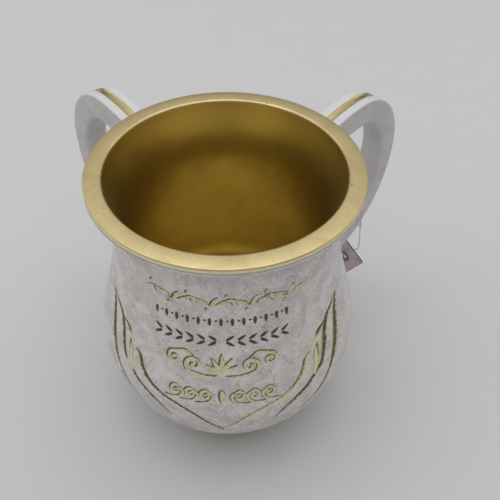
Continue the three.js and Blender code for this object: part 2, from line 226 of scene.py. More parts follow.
# Outline of the body's outside, from the foot to the lip, as (radius, height)
BELLY_RISE = BELLY_HEIGHT - BODY_BASE
BELLY_SWELL = BELLY_RADIUS - FOOT_RADIUS
SHOULDER_RISE = NECK_HEIGHT - BELLY_HEIGHT
LIP_RADIUS = RIM_RADIUS - LIP_SETBACK
LIP_FOOT = LIP_TOP - LIP_EDGE
COVE_FOOT = LIP_FOOT - COVE_HEIGHT
BODY_SHARES = {"foot_out": 0.5, "foot_up": 0.12, "belly_down": 0.45, "belly_up": 0.3, "neck_down": 0.4}
COVE_SHARES = {"up": 0.5, "out": 0.3, "down": 0.12}
BEAD_SHARES = {"low": 0.1, "middle": 0.4, "high": 0.7}
OUTLINE = joined(
    cubic(
        (FOOT_RADIUS, BODY_BASE),
        (FOOT_RADIUS + BELLY_SWELL * BODY_SHARES["foot_out"],
         BODY_BASE + BELLY_RISE * BODY_SHARES["foot_up"]),
        (BELLY_RADIUS, BELLY_HEIGHT - BELLY_RISE * BODY_SHARES["belly_down"]),
        (BELLY_RADIUS, BELLY_HEIGHT),
    ),
    cubic(
        (BELLY_RADIUS, BELLY_HEIGHT),
        (BELLY_RADIUS, BELLY_HEIGHT + SHOULDER_RISE * BODY_SHARES["belly_up"]),
        (NECK_RADIUS, NECK_HEIGHT - SHOULDER_RISE * BODY_SHARES["neck_down"]),
        (NECK_RADIUS, NECK_HEIGHT),
    ),
    cubic(
        (NECK_RADIUS, COVE_FOOT),
        (NECK_RADIUS, COVE_FOOT + COVE_HEIGHT * COVE_SHARES["up"]),
        (NECK_RADIUS + (LIP_RADIUS - NECK_RADIUS) * COVE_SHARES["out"],
         LIP_FOOT - COVE_HEIGHT * COVE_SHARES["down"]),
        (LIP_RADIUS - LIP_SETBACK, LIP_FOOT),
    ),
    cubic(
        (LIP_RADIUS - LIP_SETBACK, LIP_FOOT),
        (LIP_RADIUS, LIP_FOOT),
        (LIP_RADIUS + LIP_BEAD, LIP_FOOT + LIP_EDGE * BEAD_SHARES["low"]),
        (LIP_RADIUS + LIP_BEAD, LIP_FOOT + LIP_EDGE * BEAD_SHARES["middle"]),
        10,
    ),
    cubic(
        (LIP_RADIUS + LIP_BEAD, LIP_FOOT + LIP_EDGE * BEAD_SHARES["middle"]),
        (LIP_RADIUS + LIP_BEAD, LIP_FOOT + LIP_EDGE * BEAD_SHARES["high"]),
        (LIP_RADIUS, LIP_TOP),
        (LIP_RADIUS - LIP_SETBACK * 2, LIP_TOP),
        12,
    ),
)
OUTLINE_LENGTHS = along(OUTLINE)


def length_at(height):
    """Length along the outline at a height."""
    return np.interp(height, OUTLINE[:, 1], OUTLINE_LENGTHS)


def turned(turn, radius, height):
    """Points at turns about the axis, at a radius and a height."""
    return np.stack([radius * np.sin(turn), -radius * np.cos(turn), height + 0 * turn], axis=-1)


def on_body(turn, length):
    """Points on the body's outside at turns and lengths along the outline."""
    return turned(turn, *(np.interp(length, OUTLINE_LENGTHS, column) for column in OUTLINE.T))


def radius_at(height):
    """Radius of the outline at a height."""
    return np.interp(height, OUTLINE[:, 1], OUTLINE[:, 0])


# Meshes


def spaced(*zones):
    """Values over zones that follow one another, each (start, end, step), without the last end."""
    runs = [np.linspace(a, b, max(1, round((b - a) / step)), endpoint=False) for a, b, step in zones]
    return np.concatenate(runs)


def circle(count):
    """Evenly spaced turns of a full circle."""
    return np.linspace(-math.pi, math.pi, count, endpoint=False)


def revolved(profile, turns):
    """Points, faces and rows of point numbers of a (radius, height) profile turned about Z.

    A row on the axis is one point."""
    profile, count = np.array(profile, float), len(turns)
    points, rows, at = [], [], 0
    for radius, height in profile:
        ring = turns if radius > 0 else turns[:1]
        points.append(turned(ring, radius, height))
        rows.append(np.arange(at, at + len(ring)))
        at += len(ring)
    faces = []
    for low, high in zip(rows, rows[1:]):
        if len(low) == 1:
            faces += [(low[0], high[(k + 1) % count], high[k]) for k in range(count)][::-1]
        elif len(high) == 1:
            faces += [(low[k], low[(k + 1) % count], high[0]) for k in range(count)]
        else:
            faces += list(zip(low, np.roll(low, -1), np.roll(high, -1), high))
    return np.vstack(points), faces, rows


def ring_faces(rings, closed):
    """Quads from each ring of points to the next, and from the last to the first where the run is closed."""
    steps, count, _ = rings.shape
    index = np.arange(steps * count).reshape(steps, count)
    after = np.roll(index, -1, axis=1)
    faces = np.stack([index, after, np.roll(after, -1, axis=0), np.roll(index, -1, axis=0)], axis=-1)
    return (faces if closed else faces[:-1]).reshape(-1, 4).tolist()


def made(name, points, faces, material, body, replaces, layers=None):
    """A smooth mesh piece from points in millimetres, riding on a body and standing for a CAD node.

    Layers are values at the points that the material reads by name."""
    mesh = bpy.data.meshes.new(name)
    mesh.from_pydata((np.array(points) * MM).tolist(), [], [tuple(map(int, face)) for face in faces])
    mesh.materials.append(material)
    mesh.shade_smooth()
    for layer, values in (layers or {}).items():
        mesh.attributes.new(layer, "FLOAT", "POINT").data.foreach_set("value", np.array(values, np.float32))
    mesh.update()
    piece = bpy.data.objects.new(name, mesh)
    scene.collection.objects.link(piece)
    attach(piece, body)
    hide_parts(replaces)


# Materials


def put_stops(ramp, stops):
    """Gives a colour ramp node its (place, colour) stops."""
    elements = ramp.color_ramp.elements
    while len(elements) < len(stops):
        elements.new(1)
    for element, (place, stop_colour) in zip(elements, stops):
        element.position = place
        element.color = stop_colour


class Finish:
    """A node material, built up by short calls that return sockets."""

    def __init__(self, name):
        self.material = bpy.data.materials.new(name)
        self.material.use_nodes = True
        self.tree = self.material.node_tree
        self.shader = self.tree.nodes["Principled BSDF"]
        self.place = self.tree.nodes.new("ShaderNodeTexCoord").outputs["Object"]

    def node(self, kind, inputs=(), **settings):
        added = self.tree.nodes.new("ShaderNode" + kind)
        for key, value in settings.items():
            setattr(added, key, value)
        for key, value in dict(inputs).items():
            self.put(added.inputs[key], value)
        return added

    def put(self, socket, value):
        if isinstance(value, bpy.types.NodeSocket):
            self.tree.links.new(value, socket)
        else:
            socket.default_value = value

    def with_inputs(self, **inputs):
        """The material with the shader's inputs set, a name's underscores standing for spaces."""
        for key, value in inputs.items():
            self.put(self.shader.inputs[key.replace("_", " ")], value)
        return self.material

    def stretched(self, scale, turn):
        """The object's coordinates, turned by degrees and then scaled along each axis."""
        angles = tuple(math.radians(angle) for angle in turn)
        first = self.node("Mapping", {"Vector": self.place, "Rotation": angles})
        return self.node("Mapping", {"Vector": first.outputs[0], "Scale": scale}).outputs[0]

    def noise(self, size, detail=4.0, rough=0.5, distortion=0.0, at=None):
        """Noise whose lumps are about a size in millimetres."""
        inputs = {"Vector": at or self.place, "Scale": 1 / (size * MM), "Detail": detail, "Roughness": rough,
                  "Distortion": distortion}
        return self.node("TexNoise", inputs).outputs["Fac"]

    def attribute(self, name):
        return self.node("Attribute", attribute_name=name).outputs["Fac"]

    def ranged(self, value, low, high, to_low=0.0, to_high=1.0):
        inputs = {"Value": value, "From Min": low, "From Max": high, "To Min": to_low, "To Max": to_high}
        return self.node("MapRange", inputs, interpolation_type="SMOOTHSTEP").outputs[0]

    def math(self, operation, a, b=0.0):
        return self.node("Math", {0: a, 1: b}, operation=operation).outputs[0]

    def mix(self, share, a, b):
        """Colour a, with b over it by a share."""
        return self.node("Mix", {0: share, 6: a, 7: b}, data_type="RGBA").outputs[2]

    def ramp(self, value, *stops):
        """A colour ramp with (place, colour) stops."""
        ramp = self.node("ValToRGB", {"Fac": value})
        put_stops(ramp, stops)
        return ramp.outputs["Color"]

    def bumped(self, height, size):
        """A bump whose full height is a size in millimetres."""
        inputs = {"Height": height, "Distance": size * MM, "Strength": 1.0}
        return self.node("Bump", inputs).outputs["Normal"]


def colour(red, green, blue):
    """A linear colour from 8-bit screen values."""
    linear = [((c / 255 + 0.055) / 1.055) ** 2.4 if c > 10 else c / 3294.6 for c in (red, green, blue)]
    return (*linear, 1.0)


def marbled(finish, depth=1.0):
    """The cast white with its smoky marbling: soft clouds, and fine scratch-like strokes in patches.

    Returns the colour, and the soft strokes for roughness and bump."""
    smoke = finish.noise(10, 6, 0.62, 1.2)
    patches = finish.noise(8, 4, 0.6, 0.5, at=finish.stretched((1, 1, 1), (20, 0, 65)))
    soft = finish.noise(1.3, 6, 0.7, 0.9, at=finish.stretched((1, 1, 0.5), (0, 34, 20)))
    slanted = finish.noise(0.55, 3, 0.6, 0.4, at=finish.stretched((1, 1, 0.22), (0, 40, 15)))
    across = finish.noise(0.5, 3, 0.6, 0.3, at=finish.stretched((1, 1, 0.25), (12, -48, 0)))
    dark = finish.noise(0.8, 4, 0.66, 0.5, at=finish.stretched((1, 1, 0.2), (0, -36, 10)))
    white = finish.mix(finish.ranged(smoke, 0.36, 0.64), colour(232, 228, 225), colour(208, 203, 200))
    white = finish.mix(finish.ranged(soft, 0.46, 0.62, 0.0, 0.25 * depth), white, colour(170, 164, 164))
    where = finish.ranged(patches, 0.42, 0.58, 0.12, 1.0)
    fine = finish.math("MAXIMUM", finish.ranged(slanted, 0.55, 0.63), finish.ranged(across, 0.57, 0.65))
    scratched = finish.math("MULTIPLY", fine, finish.math("MULTIPLY", where, 0.56 * depth))
    white = finish.mix(scratched, white, colour(138, 132, 132))
    few = finish.ranged(patches, 0.5, 0.62, 0.06, 0.85 * depth)
    flecks = finish.math("MULTIPLY", finish.ranged(dark, 0.62, 0.7), few)
    return finish.mix(flecks, white, colour(100, 95, 95)), soft


def gold_leaf(finish):
    """Brushed-on gold paint, a little uneven."""
    return finish.mix(finish.noise(1.8, 5, 0.6), colour(252, 243, 208), colour(238, 225, 180))


def cast_white():
    """Body: marbled white, with gold paint on the lip and in the engraving, dark where a groove is shaded.

    The dark is painted shade and the groove's light edge a painted highlight; the flange's shadow is painted
    on the lip.
    """
    finish = Finish("cast white")
    white, strokes = marbled(finish)
    wander = finish.noise(0.9, 3, 0.6)
    engraved = finish.math("ADD", finish.attribute("engraved"), finish.ranged(wander, 0.3, 0.7, -0.1, 0.1))
    side = finish.math("ADD", finish.attribute("side"), finish.ranged(wander, 0.35, 0.65, -0.3, 0.3))
    gilded = finish.ranged(engraved, 1.38, 1.16)
    # Painted light and shade across a groove, by the side layer: cream painted highlight, dark olive painted
    # shade
    gold = finish.ramp(
        finish.ranged(side, -1.4, 1.4),
        (0.06, colour(236, 228, 194)),
        (0.26, colour(218, 207, 162)),
        (0.4, colour(128, 119, 82)),
        (0.52, colour(92, 86, 60)),
        (0.78, colour(98, 92, 64)),
        (0.95, colour(184, 174, 130)),
    )
    gold = finish.mix(finish.attribute("fine"), gold, colour(84, 79, 60))
    gold = finish.mix(finish.attribute("bright"), gold, colour(234, 224, 184))
    coloured = finish.mix(gilded, white, gold)
    coloured = finish.mix(finish.attribute("lip"), coloured, gold_leaf(finish))
    # Painted shadow of the flange on the lip's top, and a dark line where the lip's gold ends
    coloured = finish.mix(finish.attribute("painted_flange_shadow_and_gilt_line"), coloured, colour(104, 96, 62))
    height = finish.math("ADD", finish.math("MULTIPLY", strokes, 0.5), finish.noise(0.5, 3))
    return finish.with_inputs(
        Base_Color=coloured,
        Metallic=finish.math("MULTIPLY", gilded, 0.3),
        Roughness=finish.ranged(strokes, 0.3, 0.7, 0.4, 0.54),
        Normal=finish.bumped(height, 0.05),
        Coat_Weight=0.15,
        Coat_Roughness=0.32,
    )


def handle_white():
    """Handles: marbled like the body, with a plain white outer face and the gilt channel.

    The sides are greyed as painted shade, so the outer face reads lighter, as if lit from above.
    """
    finish = Finish("handle white")
    stone, strokes = marbled(finish, 0.45)
    # Painted shade: grey mixed into the marbled white darkens the sides against the whiter outer face
    stone = finish.mix(0.55, stone, colour(184, 184, 183))
    gilt = finish.attribute("gilt")
    edge = finish.ranged(finish.math("ABSOLUTE", finish.math("SUBTRACT", gilt, 0.5)), 0.1, 0.5, 1.0, 0.0)
    white = finish.mix(finish.attribute("white"), stone, colour(213, 214, 215))
    paint = finish.mix(finish.noise(2.6, 4, 0.6), colour(210, 196, 150), colour(174, 159, 112))
    painted = finish.mix(gilt, white, paint)
    painted = finish.mix(finish.math("MULTIPLY", edge, 0.5), painted, colour(236, 225, 188))
    return finish.with_inputs(
        Base_Color=painted,
        Metallic=finish.math("MULTIPLY", gilt, 0.85),
        Roughness=finish.math("SUBTRACT", 0.45, finish.math("MULTIPLY", gilt, 0.2)),
        Normal=finish.bumped(strokes, 0.03),
        Coat_Weight=0.12,
        Coat_Roughness=0.3,
    )


def spun_gold():
    """Liner: satin gold metal with a fine grain. Its flange is paler and coarser than its inside."""
    finish = Finish("spun gold")
    flange = finish.attribute("flange")
    grain = finish.noise(0.35, 4, 0.7)
    cloud = finish.noise(14, 4, 0.55, 0.6)
    coarse = finish.noise(0.55, 3, 0.75)
    patches = finish.ranged(cloud, 0.35, 0.68)
    inside = finish.mix(patches, colour(205, 187, 126), colour(196, 178, 115))
    inside = finish.mix(finish.attribute("throat"), inside, colour(226, 203, 124))
    rim = finish.mix(patches, colour(224, 205, 155), colour(208, 189, 143))
    rim = finish.mix(finish.ranged(coarse, 0.42, 0.62, 0.0, 0.3), rim, colour(178, 154, 108))
    pits = finish.ranged(finish.noise(2.1, 2, 0.6), 0.7, 0.76, 0.0, 0.8)
    rim = finish.mix(pits, rim, colour(138, 112, 66))
    gold = finish.mix(flange, inside, rim)
    gold = finish.mix(finish.ranged(grain, 0.5, 0.8, 0.0, 0.35), gold, colour(180, 154, 98))
    satin = finish.ranged(cloud, 0.3, 0.7, 0.3, 0.36)
    rough = finish.math("ADD", satin, finish.math("MULTIPLY", flange, 0.1))
    texture = finish.math("ADD", grain, coarse)
    uneven = finish.math("MULTIPLY", texture, finish.ranged(flange, 0, 1, 0.3, 1.0))
    return finish.with_inputs(
        Base_Color=gold,
        Metallic=1.0,
        Roughness=rough,
        Normal=finish.bumped(uneven, 0.018),
    )


def gilt():
    """Foot: gold paint over the casting, darker in worn patches."""
    finish = Finish("gilt")
    worn = finish.noise(3, 5, 0.65, 0.6)
    return finish.with_inputs(
        Base_Color=finish.mix(finish.ranged(worn, 0.42, 0.7), colour(226, 200, 122), colour(160, 138, 78)),
        Metallic=0.7,
        Roughness=finish.ranged(worn, 0.3, 0.7, 0.36, 0.55),
        Normal=finish.bumped(worn, 0.05),
    )


def felt():
    """Pad: dark felt with matted fibres."""
    finish = Finish("felt")
    fibres = finish.noise(0.6, 8, 0.8, 2.0)
    return finish.with_inputs(
        Base_Color=finish.mix(fibres, colour(38, 40, 40), colour(74, 76, 74)),
        Roughness=0.95,
        Normal=finish.bumped(fibres, 0.25),
        Sheen_Weight=0.4,
        Sheen_Roughness=0.6,
    )


def card():
    """Tag: pinkish-brown card with paper fibres and a browner edge."""
    finish = Finish("card")
    fibres = finish.noise(1.2, 7, 0.75, 1.2)
    cloud = finish.noise(7, 3)
    paper = finish.mix(finish.ranged(cloud, 0.35, 0.65), colour(214, 196, 198), colour(196, 176, 179))
    paper = finish.mix(finish.ranged(fibres, 0.55, 0.8, 0.0, 0.5), paper, colour(150, 130, 130))
    return finish.with_inputs(
        Base_Color=finish.mix(finish.attribute("edge"), paper, colour(98, 76, 70)),
        Roughness=0.72,
        Normal=finish.bumped(fibres, 0.04),
    )


def steel():
    """Eyelet: dull rolled steel."""
    finish = Finish("steel")
    scuffs = finish.noise(0.5, 5, 0.7, 0.5)
    return finish.with_inputs(
        Base_Color=finish.mix(scuffs, colour(150, 150, 150), colour(112, 112, 114)),
        Metallic=1.0,
        Roughness=finish.ranged(scuffs, 0.3, 0.7, 0.3, 0.5),
        Normal=finish.bumped(scuffs, 0.02),
    )


def nylon():
    """Loop: thin clear nylon, a little cloudy."""
    finish = Finish("nylon")
    cloud = finish.noise(1.5, 3)
    return finish.with_inputs(
        Base_Color=finish.mix(cloud, colour(240, 238, 246), colour(226, 223, 234)),
        Roughness=0.28,
        Transmission_Weight=0.7,
        IOR=1.53,
    )


def paper_floor():
    """Floor: pale paper, not quite even."""
    finish = Finish("pale paper")
    grain = finish.noise(30, 3)
    return finish.with_inputs(
        Base_Color=finish.mix(grain, colour(203, 203, 204), colour(205, 205, 206)),
        Roughness=0.75,
    )


# Engraving of the hands: each line is a run of (turn, height, width) points as shares of a quarter turn, of
# the cup's height and of the full width. Only the right hand has the link. The bridges are filled with gold.

HAND_LINES = [
    [(0.742, 0.647, 0.2), (0.703, 0.602, 0.75), (0.672, 0.535, 1), (0.642, 0.476, 0.95), (0.604, 0.42, 0.6),
     (0.554, 0.358, 0.5), (0.49, 0.306, 0.42), (0.415, 0.272, 0.25)],
    [(0.733, 0.645, 0.2), (0.683, 0.631, 0.3), (0.618, 0.608, 0.6), (0.583, 0.568, 0.8), (0.563, 0.519, 0.75),
     (0.539, 0.475, 0.6), (0.524, 0.459, 0.2)],
    [(0.587, 0.6, 0.2), (0.535, 0.583, 0.5), (0.509, 0.545, 0.65), (0.498, 0.5, 0.8), (0.484, 0.448, 0.6),
     (0.445, 0.414, 0.62), (0.382, 0.383, 0.6), (0.316, 0.346, 0.5), (0.26, 0.303, 0.2)],
    [(0.483, 0.539, 0.2), (0.434, 0.518, 0.6), (0.412, 0.479, 0.75), (0.368, 0.442, 0.7),
     (0.304, 0.412, 0.62), (0.224, 0.388, 0.58), (0.142, 0.357, 0.54), (0.073, 0.31, 0.54), (0, 0.258, 0.5)],
]
BRIDGES = [
    [(0.53, 0.566, 0.55), (0.512, 0.557, 0.75), (0.492, 0.546, 0.75), (0.474, 0.532, 0.5)],
    [(0.505, 0.535, 0.3), (0.499, 0.5, 0.6), (0.488, 0.462, 0.75), (0.479, 0.44, 0.5)],
]
RIGHT_LINK = [(0.539, 0.475, 0.6), (0.524, 0.459, 0.62), (0.503, 0.449, 0.62), (0.479, 0.438, 0.6),
              (0.45, 0.418, 0.4)]
STROKE_STEP = 0.2
FAR_OFF = 9.0

# How much wider the lines are than the solid's, by side, and what is added to their painted shade. The
# painted light and shade is the place across a line in half widths: the paint is lightest, a painted
# highlight, where it is low, and turns to painted shade of the groove's wall further across.
LINE_WIDTHS = {1: 1.42, -1: 1.15}
OUTER_LINES_SHADE = 0.6
INNER_LINE_SHADE = {1: -0.2, -1: 0.5}
THIN_LINES_SHADE = 0.15
THIN_HALF_WIDTHS = (0.4, 0.9)
BRIDGE_EDGE = (0.75, 1.1)
BRIDGE_FILL = 0.8

# The ornament's strokes are dark along their upper left edge, as the upper wall of a groove is in shade
ROW_WIDTH_SHARE = 0.86
ROW_EDGE = 0.6
ROW_EDGE_OFFSETS = (0.6, 1.4)
ROW_LIGHT = -0.75
ROW_SHADOW = 1.3


def hand_strokes(side, lines):
    """Centre points and half widths of a hand's lines on the body, on the right for side 1 or left for -1."""
    strokes = []
    for line in lines:
        turn, height, width = np.array(line).T
        run = np.column_stack([side * turn * math.pi / 2 * BELLY_RADIUS, length_at(height * CUP_HEIGHT),
                               width * ENGRAVED_WIDTH * LINE_WIDTHS[side] / 2])
        run = through(run, STROKE_STEP)
        strokes.append((on_body(run[:, 0] / BELLY_RADIUS, run[:, 1]), run[:, 2]))
    return strokes


# Ornament: each stroke is a run of (x, y, half width) points on the unrolled outside, x along the turn and
# y along the outline, both in millimetres from the middle of its row. Angles are in degrees.


def stroke(points, width, taper):
    """A stroke through points, whose half width starts and ends at the given shares."""
    run = through(np.array(points, float), STROKE_STEP)
    place = np.linspace(0, 1, len(run))
    start, end = taper
    shares = np.minimum(start + (1 - start) * place * 3, end + (1 - end) * (1 - place) * 3)
    return np.column_stack([run, width * np.minimum(1, shares)])


def spiral(x, y, radius, start, turns, hand, width):
    """A volute that winds in from its outer end."""
    t = np.linspace(0, 1, 40)
    angle = math.radians(start) + hand * t * turns * 2 * math.pi
    reach = radius * (1 - 0.82 * t)
    return stroke(np.column_stack([x + reach * np.cos(angle), y + reach * np.sin(angle)]), width, (1, 0.8))


def leaf(x, y, angle, length, width):
    """A leaf or drop, widest before its middle."""
    t, angle = np.linspace(0, 1, 9), math.radians(angle)
    run = np.column_stack([x + length * t * math.cos(angle), y + length * t * math.sin(angle),
                           width * np.sin(math.pi * t**0.7) ** 0.8 + 0.12])
    return through(run, STROKE_STEP)


def garland(half):
    """A waved stem with a leaf in each bend."""
    waves, swing, width = 4, 1.7, 0.55
    x = np.linspace(-half, half, 60)
    phase = x / half * waves * math.pi
    strokes = [stroke(np.column_stack([x, swing * np.sin(phase)]), width, (0.3, 0.3))]
    for k in range(-waves, waves):
        middle = (k + 0.5) * half / waves
        up = -1 if k % 2 else 1
        strokes.append(leaf(middle, up * swing, up * -62, 5.2, 0.9))
        strokes.append(leaf(middle + 2.6, up * swing * 0.5, up * -18, 3.8, 0.62))
        strokes.append(leaf(middle - 1.6, up * (swing + 1.4), up * 80, 1.4, 0.5))
    return strokes


def drops(half, pitch=4.1):
    """A row of hanging drops with a bead between."""
    count = int(half / pitch)
    strokes = [leaf(k * pitch, 1.7, -90, 3.6, 0.52) for k in range(-count, count + 1)]
    beads = [leaf((k + 0.5) * pitch, 0.6, 0, 0.6, 0.32) for k in range(-count, count)]
    return strokes + beads


def laurel(half, pitch=4.2):
    """Small leaves in pairs that point out from the middle."""
    strokes = []
    for hand in (-1, 1):
        for k in range(int(half / pitch)):
            x = hand * (k + 0.45) * pitch
            for slant in (34, -34):
                angle = slant if hand > 0 else 180 - slant
                strokes.append(leaf(x, math.copysign(0.4, slant), angle, 3.5, 0.5))
    return strokes


def palmette():
    """A fan of petals between two pairs of volutes."""
    petals = [leaf(0, -3.6, 90 + 30 * k, 9.2 - 1.1 * abs(k), 1.05) for k in (-2, -1, 0, 1, 2)]
    volutes = []
    for hand in (-1, 1):
        volutes.append(spiral(hand * 10.6, -0.6, 3.8, -90, 1.3, hand, 0.85))
        volutes.append(spiral(hand * 18.4, 0.8, 2.9, 90, 1.2, -hand, 0.75))
        volutes.append(stroke([(hand * 1.8, -5.0), (hand * 6.0, -5.4), (hand * 10.6, -4.4)], 0.8, (0.4, 1)))
        volutes.append(stroke([(hand * 10.6, 3.2), (hand * 14.4, 4.9), (hand * 18.4, 3.7)], 0.7, (0.2, 1)))
    return petals + volutes


def running_wave(half, count=4):
    """A line of rolling waves on each side of a drop."""
    pitch = half / count
    strokes = [leaf(0, 3.6, -90, 7.4, 1.2)]
    for hand in (-1, 1):
        for k in range(1, count):
            x = hand * (k + 0.05) * pitch
            strokes.append(spiral(x, 0.6, 2.5, 90, 1.1, -hand, 0.7))
            base = [(x, 3.1), (x - hand * 2.7, 0.4), (x - hand * 0.4, -3.3), (x + hand * pitch * 0.75, -3.7)]
            strokes.append(stroke(base, 0.75, (0.8, 0.3)))
    return strokes


# Rows of the ornament: strokes, height of the row's middle, and 1 where its strokes are fine and dark
ROWS = [
    (garland(28.5), 100.5, 0.0),
    (drops(27.5), 90.8, 1.0),
    (laurel(28.5), 82.2, 1.0),
    (palmette(), 71.5, 0.0),
    (running_wave(24), 56.5, 0.0),
]


def row_strokes(strokes, height):
    """The row's strokes on the body, as centre points and half widths."""
    middle = length_at(height)
    radius = radius_at(height)
    return [(on_body(run[:, 0] / radius, middle + run[:, 1]), run[:, 2] * ROW_WIDTH_SHARE) for run in strokes]


# Most distances that are held at once
FIELD_CHUNK = 4_000_000


def field(points, strokes, reach=2.6):
    """At each point the offset from the nearest stroke in half widths, the half width there, and the side.

    The side is 1 or -1 by where the point lies from the stroke's run."""
    nearest = np.full(len(points), FAR_OFF)
    widths, signs = np.ones((2, len(points)))
    for centres, halves in strokes:
        close = np.all((points > centres.min(0) - reach) & (points < centres.max(0) + reach), axis=1)
        index = np.flatnonzero(close)
        across = np.cross(np.gradient(centres, axis=0), centres * (1, 1, 0))
        for chunk in np.array_split(index, max(1, len(index) * len(centres) // FIELD_CHUNK)):
            apart = points[chunk, None] - centres[None]
            ratio = np.linalg.norm(apart, axis=2) / halves
            best = ratio.argmin(1)
            here = np.arange(len(chunk))
            value = ratio[here, best]
            side = np.sign(np.einsum("ij,ij->i", across[best], apart[here, best]))
            better = value < nearest[chunk]
            nearest[chunk[better]] = value[better]
            widths[chunk[better]] = halves[best[better]]
            signs[chunk[better]] = side[better]
    return nearest, widths, signs


def groove(nearest, widths):
    """Depth of the engraving: a cut that is shallower where it is narrower, and a slight fall beside it."""
    full = ENGRAVED_DEPTH * np.sqrt(np.minimum(widths / (ENGRAVED_WIDTH / 2), 1))
    cut = full * np.clip(1 - nearest**2, 0, 1) ** GROOVE_POWER
    shoulder = SHOULDER_DEPTH * np.exp(-((np.maximum(nearest - 1, 0) * widths / SHOULDER_WIDTH) ** 2))
    return np.maximum(cut, shoulder)


def engraving(turn, length):
    """Depth of the engraving at points of the outside, and the layers for its paint and painted light and
    shade.
    """
    places = on_body(turn, length)
    nearest, widths = np.full(len(places), FAR_OFF), np.ones(len(places))
    painted_light_and_shade, fine = np.zeros((2, len(places)))
    inner_shade = np.where(turn > 0, INNER_LINE_SHADE[1], INNER_LINE_SHADE[-1])
    for lines, link, darker in (
        (HAND_LINES[:3], [RIGHT_LINK], OUTER_LINES_SHADE),
        (HAND_LINES[3:], [], inner_shade),
    ):
        offset, half, side = field(places, [*hand_strokes(1, [*lines, *link]), *hand_strokes(-1, lines)])
        better = offset < nearest
        nearest[better], widths[better] = offset[better], half[better]
        thin = 1 - smoothstep(*THIN_HALF_WIDTHS, half)
        # Painted light and shade across a hand's line: a painted highlight along one edge, painted shade on
        # the other wall
        painted_light_and_shade[better] = (side * np.sign(turn) * offset + darker + THIN_LINES_SHADE * thin)[better]
    bridge = field(places, [*hand_strokes(1, BRIDGES), *hand_strokes(-1, BRIDGES)])[0]
    bright = 1 - smoothstep(*BRIDGE_EDGE, bridge)
    for strokes, height, dark in ROWS:
        on_row = row_strokes(strokes, height)
        offset, half, _ = field(places, on_row)
        better = offset < nearest
        nearest[better], widths[better] = offset[better], half[better]
        beside = turn[better] - ROW_EDGE / 2 / radius_at(height)
        above = field(on_body(beside, length[better] + ROW_EDGE), on_row)[0]
        # Painted shade along a stroke's upper left edge, a painted highlight below it
        painted_light_and_shade[better] = ROW_LIGHT + ROW_SHADOW * smoothstep(*ROW_EDGE_OFFSETS, above)
        fine[better] = dark
    depth = groove(nearest, widths) * (1 - BRIDGE_FILL * bright)
    nearest = np.where(bright > 0.05, np.minimum(nearest, bridge), nearest)
    return depth, {"engraved": np.minimum(nearest, 3), "side": np.clip(painted_light_and_shade, -3, 3), "fine": fine,
                   "bright": bright}


# Zones of the body's mesh: (start, end, step), in degrees, or as two heights and a step along the outline
TURN_ZONES = [(-180, -72, 2.2), (-72, 72, 0.4), (72, 180, 2.2)]
HEIGHT_ZONES = [(BODY_BASE, 28, 1.1), (28, 48, 0.6), (48, 72, 0.42), (72, 86, 0.34), (86, 105, 0.34),
                (105, LIP_FOOT - 3, 0.8), (LIP_FOOT - 3, LIP_TOP, 0.3)]
ENGRAVED_TURN = math.radians(72)
ENGRAVED_HEIGHTS = (26, 107)


def body():
    """The cast body: its outside fine enough for the engraving, its inside and underside plain."""
    turns = np.radians(spaced(*TURN_ZONES))
    zones = [(length_at(low), length_at(high), step) for low, high, step in HEIGHT_ZONES]
    lengths = np.append(spaced(*zones), OUTLINE_LENGTHS[-1])
    outside = resampled(OUTLINE, lengths)
    seat_mouth = RIM_RADIUS - RIM_FLANGE + LINER_SHEET + SEAT_GAP
    bowl = [(r + LINER_SHEET + SEAT_GAP, z) for r, z in liner_inside()[::6] if 0 < r and z < LIP_TOP - 2]
    inside = [(seat_mouth, LIP_TOP), *bowl[::-1], (0, LINER_FLOOR - LINER_SHEET - SEAT_GAP)]
    register = FOOT_RADIUS - FOOT_WIDTH + FOOT_REGISTER_WIDTH + SEAT_GAP
    recess = BODY_BASE + FOOT_REGISTER + SEAT_GAP
    under = [(0, recess), (register, recess), (register, BODY_BASE)]
    points, faces, rows = revolved(np.vstack([under, outside, inside]), turns)

    skin = np.concatenate(rows[len(under):len(under) + len(outside)])
    length, turn = np.repeat(lengths, len(turns)), np.tile(turns, len(lengths))
    low, high = (length_at(height) for height in ENGRAVED_HEIGHTS)
    part = np.flatnonzero((abs(turn) < ENGRAVED_TURN) & (length > low) & (length < high))
    depth, painted = engraving(turn[part], length[part])
    out = np.repeat(sideways(outside), len(turns), axis=0)[part]
    points[skin[part]] -= turned(turn[part], *out.T) * depth[:, None]

    layers = {name: np.zeros(len(points)) for name in (*painted, "lip", "painted_flange_shadow_and_gilt_line")}
    layers["engraved"] += FAR_OFF
    for name, values in painted.items():
        layers[name][skin[part]] = values
    drop = CUP_HEIGHT - np.repeat(outside[:, 1], len(turns))
    layers["lip"][skin] = 1 - smoothstep(LIP_GILT - 0.1, LIP_GILT + 0.15, drop)
    # Painted shadow that the flange casts on the lip, and a dark line where the lip's gold ends
    shadow = 1 - smoothstep(FLANGE_SHADOW_DROP - 0.15, FLANGE_SHADOW_DROP + 0.05, drop)
    gilt_line = np.exp(-(((drop - LIP_GILT) / GILT_LINE_WIDTH) ** 2))
    layers["painted_flange_shadow_and_gilt_line"][skin] = FLANGE_SHADOW_STRENGTH * shadow + GILT_LINE_SHADE * gilt_line
    made("body", points, faces, cast_white(), "cup", "cup_body", layers)


# Liner


